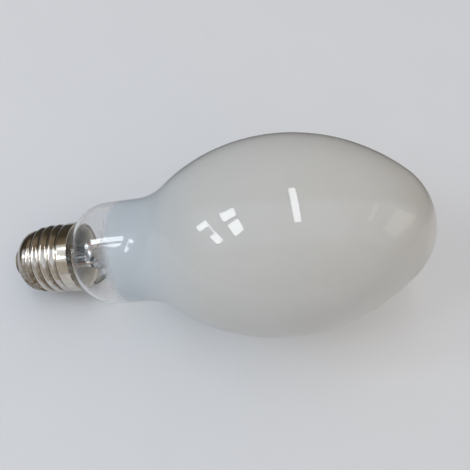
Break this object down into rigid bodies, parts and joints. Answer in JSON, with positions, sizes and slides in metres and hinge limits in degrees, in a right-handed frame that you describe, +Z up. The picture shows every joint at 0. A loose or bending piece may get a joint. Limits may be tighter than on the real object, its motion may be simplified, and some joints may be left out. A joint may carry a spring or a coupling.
{
  "type": "high pressure sodium lamp",
  "caption": "Coated ellipsoidal high pressure sodium lamp with a screw cap, lying on its side, with its stem, frame and ceramic arc tube inside.",
  "frame": {"origin": "middle of the box at floor level, under the lamp lying on its side", "axes": "+Z up; +X from the cap towards the dome, with the lamp's own axis rising 15.4 degrees; Y across"},
  "size_m": [0.152, 0.071, 0.0732],
  "materials": {
    "coated_glass": "smooth glass over a white powder coat, clear at the neck",
    "clear_glass": "clear fused glass",
    "nickel_plate": "bright nickel plate, stained in the thread roots",
    "black_glass": "glossy black glass",
    "contact_brass": "plain brass",
    "solder": "dull solder",
    "cement": "set basing cement",
    "copper_wire": "copper coated wire",
    "frame_wire": "nickel plated steel wire",
    "spring_strip": "stainless strip",
    "alumina": "translucent sintered alumina",
    "alumina_plug": "matt sintered alumina",
    "niobium": "satin metal",
    "tungsten": "dark drawn wire",
    "nickel_strip": "bright nickel strip",
    "getter_metal": "fired dark metal channel",
    "amalgam": "bright bead"
  },
  "bodies": {
    "root": {"outer_bulb": "coated_glass", "stem": "clear_glass", "cap_shell": "nickel_plate", "cap_insulator": "black_glass", "centre_contact": "contact_brass", "contact_solder": "solder", "side_solder": "solder", "cap_cement": "cement", "centre_lead": "copper_wire", "side_lead": "copper_wire", "support_rod": "frame_wire", "short_post": "frame_wire", "dome_spring_lower": "spring_strip", "dome_spring_upper": "spring_strip", "arc_tube": "alumina", "base_plug": "alumina_plug", "dome_plug": "alumina_plug", "base_niobium_tube": "niobium", "dome_niobium_tube": "niobium", "base_electrode": "tungsten", "dome_electrode": "tungsten", "base_coil": "tungsten", "dome_coil": "tungsten", "base_strap": "nickel_strip", "guide_loop": "frame_wire", "expansion_strip": "nickel_strip", "getter_ring": "getter_metal", "getter_holder": "frame_wire", "amalgam_dose": "amalgam"}
  },
  "joints": []
}
